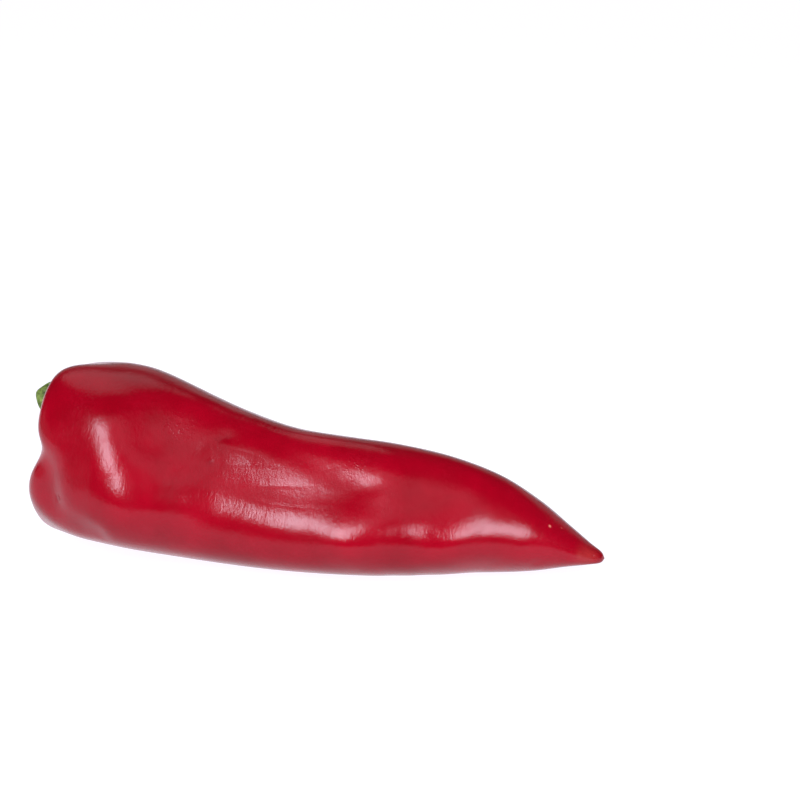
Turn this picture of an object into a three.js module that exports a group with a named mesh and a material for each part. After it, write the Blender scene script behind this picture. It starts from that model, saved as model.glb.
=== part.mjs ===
// A sweet pointed red pepper, lying on its side as it rests on a table, with its calyx and cut stem.
// Millimetres, +Z up. +X runs from the stem end to the pointed tip, and -Y is the front.
// Angles round the fruit are degrees from the top: 90 is the front, 180 the underside, 270 the back.
import * as THREE from 'three';

// ---- driving dimensions ----
const AROUND = 48; // points on each ring of the skin
const STEPS = 60; // rings of points from the hollow at the stem to the tip
const TABLE = 1.4; // the skin is flattened below this height, where the fruit's weight rests
const GAP = 0.3; // clearance between neighbouring pieces

// Rings of the fruit: x along it, y sideways, z of the middle, half width, half height.
const FRUIT_RINGS = [
  [-79, 9, 33, 0, 0], // 0 middle of the hollow
  [-79.5, 9, 33, 6, 6], // 1 floor of the hollow
  [-83, 9, 33, 11, 11], // 2 wall of the hollow
  [-87.5, 9, 32, 17, 19], // 3 crest of the shoulder
  [-85, 9, 31, 23.3, 25.8], // 4
  [-76, 8, 31, 28.7, 27.9], // 5
  [-62, 6.5, 30.3, 30.5, 28.3], // 6 widest
  [-45, 5.4, 28, 27.6, 27.2], // 7
  [-28, 4.5, 24.9, 25.3, 24.6], // 8
  [-11, 3.5, 22.9, 23.7, 22.4], // 9
  [6, 3.2, 22.5, 23.1, 21.4], // 10
  [23, 3.9, 22.2, 21.9, 20.4], // 11
  [40, 6.2, 20.8, 18.6, 18.6], // 12
  [56, 8.2, 18.2, 15.4, 15.6], // 13
  [68.7, 9.6, 14.8, 12.4, 11.1], // 14
  [78.5, 10.8, 11.6, 8.2, 6.4], // 15
  [85.4, 11.6, 9.2, 4.8, 3.2], // 16
  [89.2, 11.9, 8.2, 2.2, 1.7], // 17
  [90.4, 12, 7.9, 0, 0], // 18 tip
];

// Soft pushes that turn the plain round body into a three-lobed one.
// Each has a path of [ring, degrees] points on the skin, a reach and a move, both in mm.
const PUSHES = [
  { name: 'front lobe', path: [[4.3, 8], [4, 30], [4, 62]], reach: 22, move: [-4.6, -0.5, 2] },
  { name: 'lower lobe', path: [[3.7, 118], [4.2, 172]], reach: 21, move: [-8.6, 0.3, 0] },
  { name: 'back lobe', path: [[4.2, 262], [5, 325], [6, 335]], reach: 24, move: [-1.5, 1, 2] },
  {
    name: 'front groove',
    path: [[3, 76], [3.6, 80], [4.2, 84], [4.5, 94], [4.55, 102]],
    reach: 8,
    move: [1.3, 2, 0],
  },
  { name: 'top groove', path: [[3, 350], [4, 345], [5, 345]], reach: 8, move: [0.5, 0, -0.8] },
  { name: 'back groove', path: [[3, 225], [4, 225], [5.5, 228]], reach: 10, move: [2, -3, 1] },
  {
    name: 'belly',
    path: [[5, 118], [7, 121], [9, 121], [11, 118], [12, 112]],
    reach: 20,
    move: [0, -2.5, -1.6],
  },
  {
    name: 'upper front face',
    path: [[6.7, 46], [8.5, 50], [10.5, 50], [11.4, 46]],
    reach: 25,
    move: [0, 1.2, -2],
  },
  { name: 'back face', path: [[7, 275], [9, 280], [12, 280]], reach: 16, move: [0, -1.5, 0] },
  { name: 'middle front face', path: [[7.2, 66], [8.5, 68], [10.5, 66]], reach: 20, move: [0, 0.8, -0.3] },
  { name: 'front face', path: [[6.9, 42], [8, 47], [9.2, 50], [10.4, 50]], reach: 20, move: [0, 1.2, -3.2] },
  { name: 'face near the tip', path: [[11.6, 50], [13, 50]], reach: 18, move: [0, 1, -1.3] },
  { name: 'shoulder front', path: [[5.7, 100], [6.3, 106]], reach: 18, move: [0, -1.8, -0.5] },
  { name: 'foot of the groove', path: [[4.6, 106], [5, 112], [5.6, 117]], reach: 8, move: [0.4, 1, 0.5] },
  { name: 'above the cheek', path: [[5.3, 37], [5.7, 35]], reach: 12, move: [0, -0.6, 0.6] },
  { name: 'below the cheek', path: [[6.4, 92], [7, 90]], reach: 12, move: [0, -1.2, 0] },
  { name: 'beside the groove', path: [[4.95, 50], [5.05, 70]], reach: 13, move: [0.4, 1.3, 0] },
  { name: 'flat of the belly', path: [[7.8, 92], [8.9, 94], [9.7, 94]], reach: 9, move: [0, 0.7, 0] },
  { name: 'belly near the tip', path: [[12.5, 86], [13, 84]], reach: 10, move: [0, -0.6, 0] },
  { name: 'ridge of the belly', path: [[10.45, 76], [10.45, 94]], reach: 12, move: [0, -1.3, 0] },
  { name: 'keel near the tip', path: [[12.2, 102], [13.6, 100]], reach: 9, move: [0, -0.6, 0] },
];

// Calyx: a leafy star pressed into the hollow.
const CALYX_TEETH = 6;
const CALYX_REACH = 1.85; // ring of the fruit the star reaches between its teeth
const TOOTH_REACH = 0.45; // how many rings further the teeth reach
const CALYX_MIDDLE = 2.4; // thickness at the stem
const CALYX_RIM = 0.9; // thickness at the edge
const CALYX_AROUND = 48;
const CALYX_STEPS = 6;

// Stem: equal steps of radius along a curve that leaves the calyx and turns up.
const STEM_CURVE = [
  [-84.5, 9.3, 33.9],
  [-88.6, 10.6, 36],
  [-93, 12.6, 39.6],
  [-96.6, 14.6, 43.8],
  [-98.4, 15.8, 48],
];
const STEM_RADII = [3.8, 3.3, 3.1, 2.9, 2.8, 2.9, 3.0, 3.3, 3.6, 3.7];
const STEM_FOOT = 0.7; // ring of the fruit over which the foot of the stem stands
const STEM_RIBS = 5;
const STEM_RIB = 0.06; // height of a rib as a share of the radius
const STEM_AROUND = 24;

// ---- skin of the fruit ----
const rad = THREE.MathUtils.degToRad;
const vec = ([x, y, z]) => new THREE.Vector3(x, y, z);
const curve = (points) => new THREE.CatmullRomCurve3(points, false, 'catmullrom', 0.5);
const middles = curve(FRUIT_RINGS.map(([x, y, z]) => vec([x, y, z])));
const girths = curve(FRUIT_RINGS.map(([, , , width, height]) => vec([width, height, 0])));
const LAST_RING = FRUIT_RINGS.length - 1;

// Weight of a push: 1 on its path, falling smoothly to 0 at its reach.
const soften = (d) => (d >= 1 ? 0 : (1 - d) ** 2 * (1 + 2 * d));

function skinPoint(ring, degrees, pushes) {
  const middle = middles.getPoint(ring / LAST_RING);
  const girth = girths.getPoint(ring / LAST_RING);
  const turn = rad(degrees);
  const point = middle.add(vec([0, -girth.x * Math.sin(turn), girth.y * Math.cos(turn)]));
  for (const { anchors, reach, move } of pushes) {
    const nearest = Math.min(...anchors.map((anchor) => anchor.distanceTo(point)));
    point.addScaledVector(move, soften(nearest / reach));
  }
  return point;
}

// Each push is held at points on the skin as the pushes before it have left it.
const pushes = [];
for (const { path, reach, move } of PUSHES) {
  const anchors = [];
  for (let k = 0; k < path.length - 1; k++) {
    for (let s = 0; s <= 1; s += 0.125) {
      const [ring, degrees] = path[k].map((value, axis) => value + (path[k + 1][axis] - value) * s);
      anchors.push(skinPoint(ring, degrees, pushes));
    }
  }
  pushes.push({ anchors, reach, move: vec(move) });
}

const skin = (ring, degrees) => skinPoint(ring, degrees, pushes);

function skinNormal(ring, degrees) {
  const step = 0.02;
  const along = skin(ring + step, degrees).sub(skin(ring - step, degrees));
  const round = skin(ring, degrees + 2).sub(skin(ring, degrees - 2));
  return round.cross(along).normalize();
}

// ---- closed bodies from rings of points ----
// `start` and `end` close the body with a single point each.
function closedBody(start, rings, end) {
  const around = rings[0].length;
  const points = [start, ...rings.flat(), end];
  const last = points.length - 1;
  const at = (ring, j) => 1 + ring * around + (j % around);
  const faces = [];
  for (let j = 0; j < around; j++) {
    faces.push(0, at(0, j + 1), at(0, j));
    faces.push(last, at(rings.length - 1, j), at(rings.length - 1, j + 1));
    for (let ring = 0; ring < rings.length - 1; ring++) {
      faces.push(at(ring, j), at(ring, j + 1), at(ring + 1, j));
      faces.push(at(ring, j + 1), at(ring + 1, j + 1), at(ring + 1, j));
    }
  }
  const geometry = new THREE.BufferGeometry().setFromPoints(points);
  geometry.setIndex(faces);
  return geometry;
}

const turns = (count) => Array.from({ length: count }, (_, j) => (360 * j) / count);

// ---- fruit ----
function fruitBody() {
  const rings = [];
  for (let step = 1; step < STEPS; step++) {
    rings.push(turns(AROUND).map((degrees) => skin((step / STEPS) * LAST_RING, degrees)));
  }
  for (const point of rings.flat()) point.z = Math.max(point.z, TABLE);
  return closedBody(skin(0, 0), rings, skin(LAST_RING, 0));
}

// ---- calyx ----
// A point over the hollow: `share` runs 0 to 1 from the stem to the edge of the star.
function calyxPoint(share, degrees, lift) {
  const tooth = Math.abs(Math.cos(rad((degrees * CALYX_TEETH) / 2))) ** 1.5;
  const ring = Math.max(share * (CALYX_REACH + TOOTH_REACH * tooth), 0.05);
  return skin(ring, degrees).addScaledVector(skinNormal(ring, degrees), lift);
}

function calyxBody() {
  const top = (share) => GAP + CALYX_RIM + (CALYX_MIDDLE - CALYX_RIM) * (1 - share) ** 1.5;
  const shares = Array.from({ length: CALYX_STEPS }, (_, k) => (k + 1) / CALYX_STEPS);
  const upper = shares.map((share) => turns(CALYX_AROUND).map((d) => calyxPoint(share, d, top(share))));
  const lower = shares.map((share) => turns(CALYX_AROUND).map((d) => calyxPoint(share, d, GAP)));
  const middle = skin(0, 0);
  const over = middle.clone().add(vec([-GAP - CALYX_MIDDLE, 0, 0]));
  const under = middle.clone().add(vec([-GAP, 0, 0]));
  return closedBody(over, [...upper, ...lower.reverse()], under);
}

// ---- stem ----
// The foot follows the calyx at one gap above it; the rings after it follow the curve.
function stemBody() {
  const lift = GAP + CALYX_MIDDLE + GAP;
  const path = curve(STEM_CURVE.map(vec));
  const foot = turns(STEM_AROUND).map((d) => skin(STEM_FOOT, d).addScaledVector(skinNormal(STEM_FOOT, d), lift));
  const rings = STEM_RADII.map((radius, k) => {
    const share = k / (STEM_RADII.length - 1);
    const facing = path.getTangent(share);
    const side = vec([0, 0, 1]).cross(facing).normalize();
    const up = facing.clone().cross(side);
    return turns(STEM_AROUND).map((degrees) => {
      const width = radius * (1 + STEM_RIB * Math.cos(rad(degrees * STEM_RIBS)));
      const point = path.getPoint(share).addScaledVector(up, width * Math.cos(rad(degrees)));
      return point.addScaledVector(side, width * Math.sin(rad(degrees)));
    });
  });
  const footMiddle = skin(0, 0).add(vec([-lift, 0, 0]));
  return closedBody(path.getPoint(1), [...rings.reverse(), foot], footMiddle);
}

// ---- the finished pepper, standing with the middle of its footprint at the origin ----
const pepper = new THREE.Group();
pepper.name = 'pepper';
const BODIES = [
  ['fruit', fruitBody, 0xa9021a, 0.28],
  ['calyx', calyxBody, 0x4c6329, 0.6],
  ['stem', stemBody, 0x6f7f35, 0.65],
];
for (const [name, build, color, roughness] of BODIES) {
  const mesh = new THREE.Mesh(build(), new THREE.MeshStandardMaterial({ color, roughness, metalness: 0 }));
  mesh.name = name;
  pepper.add(mesh);
}
const box = new THREE.Box3().setFromObject(pepper);
const middle = box.getCenter(new THREE.Vector3());
for (const mesh of pepper.children) {
  mesh.geometry.translate(-middle.x, -middle.y, -box.min.z);
  mesh.geometry.computeVertexNormals();
}
export default pepper;
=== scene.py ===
"""A sweet pointed red pepper lying on a pale table: glossy fruit, leafy calyx and cut green stem.

Metres, +Z up. +X runs from the stem end to the pointed tip and -Y is the front.
"""

import math

import bpy
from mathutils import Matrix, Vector
from mathutils.kdtree import KDTree


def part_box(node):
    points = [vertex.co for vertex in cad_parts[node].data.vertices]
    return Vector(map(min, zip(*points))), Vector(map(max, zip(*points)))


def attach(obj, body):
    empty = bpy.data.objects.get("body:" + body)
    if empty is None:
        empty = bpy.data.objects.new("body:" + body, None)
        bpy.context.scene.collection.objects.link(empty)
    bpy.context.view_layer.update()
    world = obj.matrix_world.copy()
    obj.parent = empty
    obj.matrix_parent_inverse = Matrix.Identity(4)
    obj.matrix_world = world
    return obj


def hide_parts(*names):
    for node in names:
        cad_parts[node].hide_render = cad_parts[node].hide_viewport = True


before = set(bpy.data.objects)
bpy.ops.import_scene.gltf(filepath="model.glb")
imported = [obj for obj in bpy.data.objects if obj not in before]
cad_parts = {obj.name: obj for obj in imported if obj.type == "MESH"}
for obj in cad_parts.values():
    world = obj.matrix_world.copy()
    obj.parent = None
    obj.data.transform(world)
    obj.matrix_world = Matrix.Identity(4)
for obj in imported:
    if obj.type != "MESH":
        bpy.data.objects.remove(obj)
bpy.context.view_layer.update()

MM = 0.001
AROUND = 96  # points on each ring of the skin
STEPS = 132  # rings of points from the hollow to the tip

# Rings of the fruit in mm: x along it, y sideways, z of the middle, half width, half height.
FRUIT_RINGS = [
    (-79, 9, 33, 0, 0),  # 0 middle of the hollow
    (-79.5, 9, 33, 6, 6),  # 1 floor of the hollow
    (-83, 9, 33, 11, 11),  # 2 wall of the hollow
    (-87.5, 9, 32, 17, 19),  # 3 crest of the shoulder
    (-85, 9, 31, 23.3, 25.8),  # 4
    (-76, 8, 31, 28.7, 27.9),  # 5
    (-62, 6.5, 30.3, 30.5, 28.3),  # 6 widest
    (-45, 5.4, 28, 27.6, 27.2),  # 7
    (-28, 4.5, 24.9, 25.3, 24.6),  # 8
    (-11, 3.5, 22.9, 23.7, 22.4),  # 9
    (6, 3.2, 22.5, 23.1, 21.4),  # 10
    (23, 3.9, 22.2, 21.9, 20.4),  # 11
    (40, 6.2, 20.8, 18.6, 18.6),  # 12
    (56, 8.2, 18.2, 15.4, 15.6),  # 13
    (68.7, 9.6, 14.8, 12.4, 11.1),  # 14
    (78.5, 10.8, 11.6, 8.2, 6.4),  # 15
    (85.4, 11.6, 9.2, 4.8, 3.2),  # 16
    (89.2, 11.9, 8.2, 2.2, 1.7),  # 17
    (90.4, 12, 7.9, 0, 0),  # 18 tip
]
LAST_RING = len(FRUIT_RINGS) - 1
RING_STEP, DEGREE_STEP = 0.06, 3  # how close together the points of a push are taken
EASED_X = -70  # mm, the skin nearer the stem than this is evened out

# Where the drawing's zero stands in the part: the fruit's furthest points give it.
TABLE = 1.4  # mm on the drawing, the height that the underside is flattened at
TIP_X, BACK_Y = 90.4, 37.8  # mm on the drawing, the fruit's far end and its back
ZERO = Vector((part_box("fruit")[1].x - TIP_X * MM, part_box("fruit")[1].y - BACK_Y * MM, -TABLE * MM))


def place(x, y, z):
    """A point of the drawing, in mm, as a point of the part."""
    return Vector((x, y, z)) * MM + ZERO


# ---- camera -------------------------------------------------------------------------------
LENS, SENSOR = 100, 36  # mm
TURN, RISE = math.radians(13), math.radians(20)  # the camera stands to the right of the front and above
LOOKED_AT = (0, 0, 22)  # mm on the drawing
VIEW_WIDTH = 256  # mm across the view at that point
VIEW_RIGHT, VIEW_UP = 25.6, 34.24  # mm, which leave the pepper left of the view's middle and below it


def camera():
    data = bpy.data.cameras.new("camera")
    data.lens, data.sensor_width = LENS, SENSOR
    cam = bpy.data.objects.new("camera", data)
    bpy.context.collection.objects.link(cam)
    right = Vector((math.cos(TURN), math.sin(TURN), 0))
    back = Vector((math.sin(TURN) * math.cos(RISE), -math.cos(TURN) * math.cos(RISE), math.sin(RISE)))
    up = back.cross(right)
    distance = LENS / SENSOR * VIEW_WIDTH * MM
    aside = right * VIEW_RIGHT * MM + up * VIEW_UP * MM
    cam.location = place(*LOOKED_AT) + back * distance + aside
    cam.rotation_mode = "QUATERNION"
    cam.rotation_quaternion = back.to_track_quat("Z", "Y")
    data.clip_start, data.clip_end = 0.05, 50
    bpy.context.scene.camera = cam


camera()


# ---- modelling helpers --------------------------------------------------------------------
STRAIGHT = 1e-6  # below this two directions count as the same


def between(rows, t):
    """The rows' numbers at t, on a smooth curve through them."""
    k = min(max(int(t), 0), len(rows) - 2)
    f = t - k
    b, c = rows[k], rows[k + 1]
    a = rows[k - 1] if k else [2 * p - q for p, q in zip(b, c)]
    d = rows[k + 2] if k + 2 < len(rows) else [2 * q - p for p, q in zip(b, c)]
    return [
        0.5 * (2 * q + (r - p) * f + (2 * p - 5 * q + 4 * r - s) * f * f + (3 * q - p - 3 * r + s) * f**3)
        for p, q, r, s in zip(a, b, c, d)
    ]


def deselect():
    """Leaves edit mode and selects nothing."""
    if bpy.context.object and bpy.context.object.mode != "OBJECT":
        bpy.ops.object.mode_set(mode="OBJECT")
    bpy.ops.object.select_all(action="DESELECT")


def choose(piece, wanted):
    """Leaves only these vertices of the piece selected, in edit mode."""
    deselect()
    piece.select_set(True)
    bpy.context.view_layer.objects.active = piece
    bpy.ops.object.mode_set(mode="EDIT")
    bpy.ops.mesh.select_mode(type="VERT")
    bpy.ops.mesh.select_all(action="DESELECT")
    bpy.ops.object.mode_set(mode="OBJECT")
    for k in wanted:
        piece.data.vertices[k].select = True
    bpy.ops.object.mode_set(mode="EDIT")


def done(piece):
    """Leaves edit mode."""
    bpy.ops.object.mode_set(mode="OBJECT")
    return piece


def push(piece, held, reach, move):
    """Moves the held vertices by `move`, and the skin round them less and less out to `reach`, in mm."""
    choose(piece, held)
    bpy.ops.transform.translate(
        value=Vector(move) * MM,
        use_proportional_edit=True,
        proportional_edit_falloff="SMOOTH",
        proportional_size=reach * MM,
    )
    done(piece)


def picked(piece):
    """The vertices selected in edit mode."""
    piece.update_from_editmode()
    return [v for v in piece.data.vertices if v.select]


def close_ring(move):
    """Closes the selected ring with a point `move` mm from its middle."""
    bpy.ops.mesh.extrude_region_move(TRANSFORM_OT_translate={"value": Vector(move) * MM})
    bpy.ops.mesh.merge(type="CENTER")


def turn_ring(facing, ahead, middle):
    """Turns the selected ring, which faces `facing`, to face `ahead`; returns its new direction."""
    ahead = ahead.normalized()
    axis = facing.cross(ahead)
    if axis.length > STRAIGHT:
        side = axis.normalized()
        third = facing.cross(side)
        bpy.ops.transform.rotate(
            value=-facing.angle(ahead),
            orient_axis="Y",
            orient_type="GLOBAL",
            orient_matrix=(third, side, facing),
            orient_matrix_type="GLOBAL",
            center_override=middle,
        )
    return ahead


def apply(piece, kind, **settings):
    """Adds a modifier and applies it."""
    bpy.context.view_layer.objects.active = piece
    modifier = piece.modifiers.new(kind.lower(), kind)
    for name, value in settings.items():
        setattr(modifier, name, value)
    bpy.ops.object.modifier_apply(modifier=modifier.name)


# ---- fruit --------------------------------------------------------------------------------
# Soft pushes that turn the plain round body into a three-lobed one: a path of (ring, degrees) points
# that is moved, how far the skin round it follows, and the move, both in mm. 0 degrees is the top,
# 90 the front, 180 the underside and 270 the back.
PUSHES = [
    ("front lobe", [(4.3, 8), (4, 30), (4, 62)], 22, (-4.6, -0.5, 2)),
    ("lower lobe", [(3.7, 118), (4.2, 172)], 21, (-8.6, 0.3, 0)),
    ("back lobe", [(4.2, 262), (5, 325), (6, 335)], 24, (-1.5, 1, 2)),
    ("front groove", [(3, 76), (3.6, 80), (4.2, 84), (4.5, 94), (4.55, 102)], 8, (1.3, 2, 0)),
    ("top groove", [(3, 350), (4, 345), (5, 345)], 8, (0.5, 0, -0.8)),
    ("back groove", [(3, 225), (4, 225), (5.5, 228)], 10, (2, -3, 1)),
    ("belly", [(5, 118), (7, 121), (9, 121), (11, 118), (12, 112)], 20, (0, -2.5, -1.6)),
    ("upper front face", [(6.7, 46), (8.5, 50), (10.5, 50), (11.4, 46)], 25, (0, 1.2, -2)),
    ("back face", [(7, 275), (9, 280), (12, 280)], 16, (0, -1.5, 0)),
    ("middle front face", [(7.2, 66), (8.5, 68), (10.5, 66)], 20, (0, 0.8, -0.3)),
    ("front face", [(6.9, 42), (8, 47), (9.2, 50), (10.4, 50)], 20, (0, 1.2, -3.2)),
    ("face near the tip", [(11.6, 50), (13, 50)], 18, (0, 1, -1.3)),
    ("shoulder front", [(5.7, 100), (6.3, 106)], 18, (0, -1.8, -0.5)),
    ("foot of the groove", [(4.6, 106), (5, 112), (5.6, 117)], 8, (0.4, 1, 0.5)),
    ("above the cheek", [(5.3, 37), (5.7, 35)], 12, (0, -0.6, 0.6)),
    ("below the cheek", [(6.4, 92), (7.0, 90)], 12, (0, -1.2, 0)),
    ("beside the groove", [(4.95, 50), (5.05, 70)], 13, (0.4, 1.3, 0)),
    ("flat of the belly", [(7.8, 92), (8.9, 94), (9.7, 94)], 9, (0, 0.7, 0)),
    ("belly near the tip", [(12.5, 86), (13, 84)], 10, (0, -0.6, 0)),
    ("ridge of the belly", [(10.45, 76), (10.45, 94)], 12, (0, -1.3, 0)),
    ("valley", [(8.3, 10), (9.47, 24), (10.2, 34), (10.9, 38)], 5, (0, 0.2, -0.3)),
    ("crease", [(7.85, 24), (8.05, 20)], 3, (0, 0.25, -0.35)),
    ("keel near the tip", [(12.2, 102), (13.6, 100)], 9, (0, -0.6, 0)),
    ("tip dent", [(15.9, 70), (16.25, 76)], 3.2, (0, 0.5, 0)),
]


def ring_point(ring, degrees):
    """A point of the plain body before it is pushed."""
    x, y, z, width, height = between(FRUIT_RINGS, ring)
    turn = math.radians(degrees)
    return place(x, y - width * math.sin(turn), z + height * math.cos(turn))


def along(path):
    """Points (ring, degrees) close together along a path of them."""
    points = []
    for (r0, d0), (r1, d1) in zip(path, path[1:]):
        count = max(2, math.ceil(max(abs(r1 - r0) / RING_STEP, abs(d1 - d0) / DEGREE_STEP)))
        points += [(r0 + (r1 - r0) * k / count, d0 + (d1 - d0) * k / count) for k in range(count + 1)]
    return points


def fruit_body():
    """A circle in the hollow, drawn out ring by ring over the shoulder and along to the tip."""
    rings = [between(FRUIT_RINGS, LAST_RING * k / STEPS) for k in range(1, STEPS)]
    x, y, z, width, height = rings[0]
    deselect()
    bpy.ops.mesh.primitive_circle_add(
        vertices=AROUND, radius=width * MM, location=place(x, y, z), rotation=(0, math.pi / 2, 0)
    )
    fruit = bpy.context.object
    fruit.name = fruit.data.name = "fruit_skin"
    bpy.ops.object.transform_apply(location=True, rotation=True, scale=True)
    bpy.ops.object.mode_set(mode="EDIT")
    bpy.ops.mesh.select_all(action="SELECT")
    for (x0, y0, z0, w0, h0), (x1, y1, z1, w1, h1) in zip(rings, rings[1:]):
        bpy.ops.mesh.extrude_region_move(
            TRANSFORM_OT_translate={"value": Vector((x1 - x0, y1 - y0, z1 - z0)) * MM}
        )
        bpy.ops.transform.resize(value=(1, w1 / w0, h1 / h0), center_override=place(x1, y1, z1))
    close_ring(Vector(FRUIT_RINGS[-1][:3]) - Vector(rings[-1][:3]))
    done(fruit)
    choose(fruit, range(AROUND))
    close_ring(Vector(FRUIT_RINGS[0][:3]) - Vector(rings[0][:3]))
    bpy.ops.mesh.select_all(action="SELECT")
    bpy.ops.mesh.normals_make_consistent(inside=False)
    return done(fruit)


fruit = fruit_body()
finder = KDTree(len(fruit.data.vertices))
for vertex in fruit.data.vertices:
    finder.insert(vertex.co, vertex.index)
finder.balance()


def skin_vertices(path):
    """The vertices of the plain body nearest to a path."""
    return sorted({finder.find(ring_point(*point))[1] for point in along(path)})


for _, path, reach, move in PUSHES:
    push(fruit, skin_vertices(path), reach, move)


def flatten_underside(piece):
    """Lays what is below the table on it, where the fruit's weight rests."""
    choose(piece, [v.index for v in piece.data.vertices if v.co.z < 0])
    bpy.ops.transform.resize(value=(1, 1, 0), center_override=(0, 0, 0))
    done(piece)


def ease_shoulder(piece):
    """Evens out the skin round the hollow, where several pushes meet."""
    choose(piece, [v.index for v in piece.data.vertices if v.co.x < place(EASED_X, 0, 0).x])
    bpy.ops.mesh.vertices_smooth(factor=0.5, repeat=3)
    done(piece)


ease_shoulder(fruit)
flatten_underside(fruit)
apply(fruit, "SUBSURF", levels=1, render_levels=1)
bpy.ops.object.shade_smooth()


# ---- finishes -----------------------------------------------------------------------------
class Value:
    """A node socket that ordinary arithmetic works on."""

    def __init__(self, finish, socket):
        self.finish, self.socket = finish, socket

    def pick(self, name):
        """Another output of the same node."""
        return Value(self.finish, self.socket.node.outputs[name])

    def maths(self, operation, *values):
        return self.finish.node("ShaderNodeMath", {"operation": operation}, *values)

    def __add__(self, other):
        return self.maths("ADD", self, other)

    __radd__ = __add__

    def __sub__(self, other):
        return self.maths("SUBTRACT", self, other)

    def __rsub__(self, other):
        return self.maths("SUBTRACT", other, self)

    def __mul__(self, other):
        return self.maths("MULTIPLY", self, other)

    __rmul__ = __mul__

    def __truediv__(self, other):
        return self.maths("DIVIDE", self, other)

    def __pow__(self, other):
        return self.maths("POWER", self, other)


class Finish:
    """A material and its shader, with one method that adds any other node."""

    def __init__(self, name, **shader):
        self.material = bpy.data.materials.new(name)
        self.material.use_nodes = True
        self.tree = self.material.node_tree
        self.shader = self.tree.nodes["Principled BSDF"]
        self.set(**shader)

    def set(self, **sockets):
        """Sets or links the shader's own sockets."""
        for name, value in sockets.items():
            self.link(self.shader.inputs[name.replace("_", " ").title().replace("Ior", "IOR")], value)

    def link(self, socket, value):
        if isinstance(value, Value):
            self.tree.links.new(value.socket, socket)
        else:
            socket.default_value = value

    def node(self, kind, settings=None, *values, **named):
        """Adds a node: its settings first, then the values or links of its sockets."""
        node = self.tree.nodes.new(kind)
        for name, value in (settings or {}).items():
            if name == "stops":
                ramp = node.color_ramp
                while len(ramp.elements) < len(value):
                    ramp.elements.new(0.5)
                for element, (position, colour) in zip(ramp.elements, value):
                    element.position, element.color = position, (*colour, 1)
            else:
                setattr(node, name, value)
        for k, value in enumerate(values):
            self.link(node.inputs[k], value)
        for name, value in named.items():
            wanted = name.replace("_", " ")
            self.link(next(i for i in node.inputs if i.enabled and i.name == wanted), value)
        return Value(self, next(out for out in node.outputs if out.enabled))


def millimetres(f):
    """Where a point of the piece stands, in mm."""
    here = f.node("ShaderNodeTexCoord").pick("Object")
    return f.node("ShaderNodeVectorMath", {"operation": "SCALE"}, here, Scale=1 / MM)


def noise(f, mm, scale, detail=2, rough=0.5, stretch=(1, 1, 1), shift=0):
    """Noise of `scale` bumps per mm; a stretch below 1 draws it out along that axis."""
    at = f.node("ShaderNodeVectorMath", {"operation": "MULTIPLY_ADD"}, mm, stretch, (shift, shift, shift))
    return f.node("ShaderNodeTexNoise", None, at, Scale=scale, Detail=detail, Roughness=rough)


def grey(f, value, *stops):
    """A value run through a ramp of (place, grey) stops."""
    return f.node("ShaderNodeValToRGB", {"stops": [(p, (c, c, c)) for p, c in stops]}, value)


def blend(f, share, one, other):
    """One colour at a share of 0, the other at 1."""
    return f.node("ShaderNodeMix", {"data_type": "RGBA"}, share, A=one, B=other)


def near(f, mm, point, reach):
    """1 at a point of the drawing, falling smoothly to 0 at `reach` mm from it."""
    away = f.node("ShaderNodeVectorMath", {"operation": "DISTANCE"}, mm, place(*point) / MM)
    return f.node("ShaderNodeMapRange", {"interpolation_type": "SMOOTHSTEP"}, away, reach, 0.0, 0.0, 1.0)


def bump(f, height):
    """Raises the surface by a height in mm."""
    f.set(normal=f.node("ShaderNodeBump", None, Strength=1, Distance=MM, Height=height))


# Small dents and spots on the skin: where in mm, how far each reaches, how deep it is, and how much
# painted shade it puts into the dent, or how much it pales the skin where the number is below 0.
MARKS = [
    ((-33, -10.6, 38.6), 1.8, 0.05, 0.25),
    ((-28.8, -4.4, 44.7), 2.4, 0.09, 0.15),
    ((-31.3, -5.2, 44.2), 2.2, 0.07, 0.15),
    ((73.8, 4.4, 20.7), 0.8, 0.06, -0.8),
    ((77.3, 7.6, 19.3), 0.8, 0.06, -0.7),
    ((85.5, 7.3, 9.8), 6.5, 0, -0.055),
    ((82.5, 6.2, 10.8), 1.8, 0.06, -0.06),
    ((-81.8, -18.1, 24.8), 2.4, 0.25, 0.2),
    ((71, -0.8, 10.3), 3, 0.12, 0),
]
# Where the skin is rougher, with fine specks: where and how far, in mm.
SPECKLED = [
    ((12.4, -4.1, 38.8), 9),
    ((-75.3, -9.6, 55), 9),
    ((-44.8, -5.7, 48), 9),
]
WRINKLED = ((-8, -2, 42), 34)  # where the upper face has faint wrinkles along it, and how far
# Reds of the skin, and the darker red of the painted shade in the small dents.
DEEP_RED = (0.205, 0.0001, 0.0055, 1)
BRIGHT_RED = (0.285, 0.0003, 0.0095, 1)
DULL_RED = (0.33, 0.006, 0.023, 1)
PAINTED_SHADE_RED = (0.09, 0.0004, 0.004, 1)
PALE_SPOT_PINK = (0.85, 0.3, 0.22, 1)
WAX_TINT = (0.92, 0.86, 1, 1)


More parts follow.
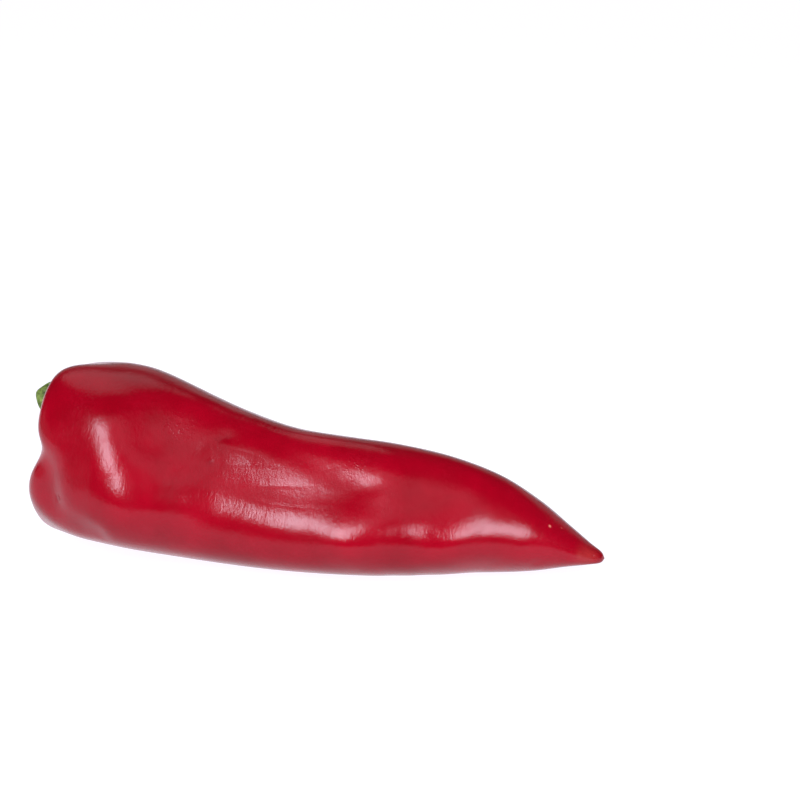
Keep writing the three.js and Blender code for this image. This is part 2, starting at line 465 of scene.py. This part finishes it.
def skin_finish():
    """Waxy red skin: fine ripples round the fruit, patches of finer grain, a little unevenness."""
    f = Finish("pepper_skin", ior=1.37, specular_tint=WAX_TINT)
    mm = millimetres(f)
    patches = grey(f, noise(f, mm, 0.07, 2, 0.5, shift=40), (0.42, 0), (0.62, 1))
    waves = noise(f, mm, 0.6, 2, 0.5, stretch=(1, 0.3, 0.3))
    ripples = noise(f, mm, 1.3, 2, 0.6, stretch=(1, 0.5, 0.5), shift=25)
    grain = noise(f, mm, 2.4, 3, 0.6)
    swell = noise(f, mm, 0.09, 2, 0.4, shift=90)
    specks = grey(f, f.node("ShaderNodeTexVoronoi", None, mm, Scale=1.1), (0.12, 1), (0.42, 0))
    speckled = sum((near(f, mm, point, reach) for point, reach in SPECKLED), 0.0)
    drawn_out = noise(f, mm, 0.15, 0, 0.4, stretch=(0.22, 1, 1), shift=7)
    wrinkles = grey(f, drawn_out, (0.4, 0), (0.5, 1), (0.6, 0))
    height = waves * 0.05 + ripples * (patches * 0.02 + 0.052) + grain * 0.025 + swell * 0.25
    height = height - wrinkles * near(f, mm, *WRINKLED) * 0.06
    height = height + specks * speckled * 0.05
    painted_shade, paler_spots = 0.0, 0.0
    for point, reach, depth, shade in MARKS:
        mark = near(f, mm, point, reach)
        height = height - mark * depth
        if shade < 0:
            # paler spots and a broad paler patch near the tip
            paler_spots = paler_spots - mark * shade
        else:
            # painted shade in the small dents, the dimple in the groove and the crease
            painted_shade = painted_shade + mark * shade
    bump(f, height)

    tone = noise(f, mm, 0.05, 3, 0.55, shift=15)
    colour = blend(f, grey(f, tone, (0.3, 0), (0.7, 1)), DEEP_RED, BRIGHT_RED)
    # a paler, duller red in random patches, and more of it where the skin is speckled
    pale = grey(f, noise(f, mm, 0.9, 4, 0.7, shift=70), (0.45, 0), (0.75, 1))
    colour = blend(f, pale * (patches * 0.25 + speckled * 0.35), colour, DULL_RED)
    # darker red painted as shade into the small dents, the dimple in the groove and the crease
    colour = blend(f, painted_shade, colour, PAINTED_SHADE_RED)
    # paler pink spots and patch near the tip
    colour = blend(f, paler_spots, colour, PALE_SPOT_PINK)
    f.set(base_color=colour, roughness=0.15 + patches * 0.04 + grain * 0.07)
    return f.material


LEAF_VEINS = 42  # veins round the star
LEAF_DARK, LEAF_PALE = (0.05, 0.085, 0.014, 1), (0.17, 0.23, 0.06, 1)
LEAF_DRY = (0.27, 0.25, 0.1, 1)


def leaf_finish():
    """Green calyx: veins running out from the stem, paler and drier towards the teeth."""
    f = Finish("calyx_leaf", ior=1.4)
    mm = millimetres(f)
    from_middle = f.node("ShaderNodeVectorMath", {"operation": "SUBTRACT"}, mm, place(*CALYX_MIDDLE) / MM)
    split = f.node("ShaderNodeSeparateXYZ", None, from_middle)
    side, up = split.pick("Y"), split.pick("Z")
    turn = f.node("ShaderNodeMath", {"operation": "ARCTAN2"}, side, up)
    out = (side * side + up * up) ** 0.5
    wander = noise(f, mm, 0.5, 3, 0.6)
    veins = f.node("ShaderNodeMath", {"operation": "SINE"}, turn * LEAF_VEINS + wander * 5) * 0.5 + 0.5
    mottle = noise(f, mm, 0.8, 4, 0.65, shift=12)
    colour = blend(f, veins * 0.45 + mottle * 0.3, LEAF_DARK, LEAF_PALE)
    dry = grey(f, out * 0.06 + mottle * 0.3, (0.72, 0), (0.98, 1))
    colour = blend(f, dry * 0.8, colour, LEAF_DRY)
    f.set(base_color=colour, roughness=0.42 + mottle * 0.25)
    height = veins * 0.12 + mottle * 0.2
    bump(f, height)
    return f.material


STALK_DARK, STALK_PALE = (0.035, 0.065, 0.008, 1), (0.21, 0.3, 0.065, 1)
STALK_MOTTLE = (0.1, 0.15, 0.024, 1)
CUT_BROWN = (0.11, 0.075, 0.028, 1)
CUT_REACH = 4.2  # mm, how far the dry brown of the cut end reaches


def stalk_finish():
    """Green stem: pale streaks along it, darker hollows between them, a dry brown cut end."""
    f = Finish("stem_stalk", ior=1.4)
    mm = millimetres(f)
    streaks = noise(f, mm, 1.3, 3, 0.6, stretch=(0.4, 1, 0.3))
    mottle = noise(f, mm, 0.45, 4, 0.65, shift=33)
    green = blend(f, grey(f, streaks, (0.38, 0), (0.64, 1)), STALK_DARK, STALK_PALE)
    green = blend(f, grey(f, mottle, (0.4, 0), (0.7, 1)) * 0.5, green, STALK_MOTTLE)
    cut = near(f, mm, STEM_CURVE[-1], CUT_REACH)
    dry = grey(f, cut + mottle * 0.3, (0.5, 0), (0.85, 1))
    colour = blend(f, dry * 0.75, green, CUT_BROWN)
    f.set(base_color=colour, roughness=0.45 + mottle * 0.25)
    height = streaks * 0.25 + mottle * 0.25 + noise(f, mm, 2.2, 3, 0.6) * dry * 0.2
    bump(f, height)
    return f.material


# ---- calyx --------------------------------------------------------------------------------
CALYX_TEETH = 6
CALYX_AROUND = 72  # points on a ring of the star
CALYX_RINGS = (3, 4, 5.2, 6.4, 7.6, 8.8, 9.8)  # mm, radii of the star's rings from the stem out
TOOTH_REACH = 0.42  # how much further the teeth reach than the gaps between them
TOOTH_POINT = 1.6  # the higher, the narrower the teeth
CALYX_THICK = 1.1  # mm
CALYX_LIFT = 0.25  # mm over the skin
CALYX_START = 14  # mm before the hollow, where the flat star is drawn before it is laid on
CALYX_MIDDLE = Vector((-79, 9, 33))  # mm, the middle of the hollow


def ring_vertices(around, ring):
    """The vertices of one ring of a body made ring by ring."""
    return range(around * ring, around * (ring + 1))


def calyx_star():
    """A flat ring facing the stem end, drawn out into teeth, then laid on the skin."""
    deselect()
    middle = place(*(CALYX_MIDDLE - Vector((CALYX_START, 0, 0))))
    bpy.ops.mesh.primitive_circle_add(
        vertices=CALYX_AROUND, radius=CALYX_RINGS[0] * MM, location=middle, rotation=(0, math.pi / 2, 0)
    )
    calyx = bpy.context.object
    calyx.name = calyx.data.name = "calyx_star"
    bpy.ops.object.transform_apply(location=True, rotation=True, scale=True)
    bpy.ops.object.mode_set(mode="EDIT")
    bpy.ops.mesh.select_all(action="SELECT")
    for inner, outer in zip(CALYX_RINGS, CALYX_RINGS[1:]):
        bpy.ops.mesh.extrude_region_move(TRANSFORM_OT_translate={"value": (0, 0, 0)})
        bpy.ops.transform.resize(value=(1, outer / inner, outer / inner), center_override=middle)
    done(calyx)

    per_tooth = CALYX_AROUND // CALYX_TEETH
    last = len(CALYX_RINGS) - 1
    for step in range(per_tooth):
        share = abs(math.cos(math.pi * step / per_tooth)) ** TOOTH_POINT
        for ring in range(2, last + 1):
            grow = 1 + TOOTH_REACH * share * ((ring - 1) / (last - 1)) ** 2
            choose(calyx, [k for k in ring_vertices(CALYX_AROUND, ring) if k % per_tooth == step])
            bpy.ops.transform.resize(value=(1, grow, grow), center_override=middle)
            done(calyx)

    apply(
        calyx,
        "SHRINKWRAP",
        target=fruit,
        wrap_method="PROJECT",
        use_project_x=True,
        use_project_y=False,
        use_project_z=False,
        use_negative_direction=False,
        use_positive_direction=True,
        offset=CALYX_LIFT * MM,
    )
    choose(calyx, range(len(calyx.data.vertices)))
    bpy.ops.mesh.normals_make_consistent(inside=False)
    done(calyx)
    if calyx.data.polygons[0].normal.x > 0:  # the star has to face away from the fruit
        choose(calyx, range(len(calyx.data.vertices)))
        bpy.ops.mesh.flip_normals()
        done(calyx)
    apply(calyx, "SOLIDIFY", thickness=CALYX_THICK * MM, offset=1)
    apply(calyx, "SUBSURF", levels=2, render_levels=2)
    deselect()
    calyx.select_set(True)
    bpy.context.view_layer.objects.active = calyx
    bpy.ops.object.shade_smooth()
    return calyx


# ---- stem ---------------------------------------------------------------------------------
# The stem in mm: points along its middle from the calyx to the cut end, and its radii along that curve.
STEM_CURVE = [
    (-80.4, 9, 33),
    (-84, 9.3, 33.7),
    (-88.6, 10.6, 36),
    (-93, 12.6, 39.6),
    (-96.6, 14.6, 43.8),
    (-98.4, 15.8, 48),
]
STEM_RADII = [5.2, 4.3, 3.6, 3.2, 3.0, 2.9, 2.8, 2.8, 2.9, 3.0, 3.3, 3.6, 3.7, 3.5]
STEM_RIBS = 5
STEM_RIB = 0.07  # height of a rib as a share of the radius
STEM_AROUND = 40
# The cut end, a rounded rim and then a shallow dish of pith: steps out in mm, and how each ring shrinks.
STEM_CUT = [(0.9, 0.95), (0.6, 0.86), (0.2, 0.8), (-0.3, 0.85), (-0.4, 0.7), (0, 0.5)]


def stem_stalk():
    """A ribbed circle on the calyx, drawn out and turned ring by ring along the stem's curve."""
    count = len(STEM_RADII)
    line = [Vector(between(STEM_CURVE, (len(STEM_CURVE) - 1) * k / (count - 1))) for k in range(count)]
    deselect()
    bpy.ops.mesh.primitive_circle_add(
        vertices=STEM_AROUND, radius=STEM_RADII[0] * MM, location=place(*line[0])
    )
    stem = bpy.context.object
    stem.name = stem.data.name = "stem_stalk"
    bpy.ops.object.transform_apply(location=True, rotation=True, scale=True)
    per_rib = STEM_AROUND // STEM_RIBS
    for step in range(per_rib):
        grow = 1 + STEM_RIB * math.cos(2 * math.pi * step / per_rib)
        choose(stem, [k for k in range(STEM_AROUND) if k % per_rib == step])
        bpy.ops.transform.resize(value=(grow, grow, 1), center_override=place(*line[0]))
        done(stem)

    choose(stem, range(STEM_AROUND))
    facing = turn_ring(Vector((0, 0, 1)), line[1] - line[0], place(*line[0]))
    for k in range(1, count):
        bpy.ops.mesh.extrude_region_move(TRANSFORM_OT_translate={"value": (line[k] - line[k - 1]) * MM})
        ahead = line[min(k + 1, count - 1)] - line[k - 1]
        facing = turn_ring(facing, ahead, place(*line[k]))
        grow = STEM_RADII[k] / STEM_RADII[k - 1]
        bpy.ops.transform.resize(value=(grow, grow, grow), center_override=place(*line[k]))
    for out, grow in STEM_CUT:
        bpy.ops.mesh.extrude_region_move(TRANSFORM_OT_translate={"value": facing * out * MM})
        here = sum((v.co for v in picked(stem)), Vector()) / STEM_AROUND
        bpy.ops.transform.resize(value=(grow, grow, grow), center_override=here)
    close_ring((0, 0, 0))
    done(stem)
    choose(stem, range(STEM_AROUND))
    close_ring(line[0] - line[1])
    bpy.ops.mesh.select_all(action="SELECT")
    bpy.ops.mesh.normals_make_consistent(inside=False)
    done(stem)
    apply(stem, "SUBSURF", levels=2, render_levels=2)
    bpy.ops.object.shade_smooth()
    return stem


calyx = calyx_star()
stem = stem_stalk()
for piece, node, slot, finish in (
    (fruit, "fruit", "skin", skin_finish()),
    (calyx, "calyx", "calyx", leaf_finish()),
    (stem, "stem", "stem", stalk_finish()),
):
    piece.data.materials.append(finish)
    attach(piece, "root")
    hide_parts(node)


# ---- table and light ----------------------------------------------------------------------
TABLE_SIZE = 12  # m
TABLE_GREY = (0.14, 0.14, 0.14, 1)
TABLE_GLOW = (0.97, 0.95, 1.05, 1)


def table_top():
    deselect()
    bpy.ops.mesh.primitive_plane_add(size=TABLE_SIZE, location=(0, 0, 0))
    floor = bpy.context.object
    floor.name = "table"
    f = Finish("pale_table", base_color=TABLE_GREY, roughness=0.9)
    f.set(emission_color=TABLE_GLOW, emission_strength=1)
    floor.data.materials.append(f.material)


# Flat soft lights that face the pepper: the angle round it from the front and the angle above the
# table that each is seen at, its distance, width and height in m, its radiance, and what it faces.
MIDDLE = (0, 0, 0.02)
PANELS = [
    ("window", -21, 39, 1.0, 0.4, 0.46, 18, MIDDLE),
    ("second_window", 44, 32, 0.45, 0.23, 0.13, 16, (0.05, 0, 0.02)),
    ("ceiling", 14, 62, 1.0, 0.9, 0.22, 1.1, MIDDLE),
    ("back_wall", -150, 48, 1.0, 0.6, 0.45, 0.75, MIDDLE),
    ("sweep", 180, 14, 1.5, 3, 0.5, 0.35, MIDDLE),
    ("side_wall", -75, 8, 1.0, 0.7, 0.5, 0.35, MIDDLE),
]


def panel(name, azimuth, elevation, distance, width, height, radiance, aim):
    light = bpy.data.lights.new(name, "AREA")
    light.shape, light.size, light.size_y = "RECTANGLE", width, height
    light.energy = radiance * math.pi * width * height
    lamp = bpy.data.objects.new(name, light)
    bpy.context.collection.objects.link(lamp)
    a, e = math.radians(azimuth), math.radians(elevation)
    back = Vector((math.sin(a) * math.cos(e), -math.cos(a) * math.cos(e), math.sin(e)))
    lamp.location = Vector(aim) + back * distance
    lamp.rotation_mode = "QUATERNION"
    lamp.rotation_quaternion = back.to_track_quat("Z", "Y")


table_top()
for settings in PANELS:
    panel(*settings)

world = bpy.data.worlds.new("studio")
world.use_nodes = True
world.node_tree.nodes["Background"].inputs["Color"].default_value = (0.02, 0.02, 0.02, 1)
bpy.context.scene.world = world
bpy.context.scene.view_settings.view_transform = "Standard"
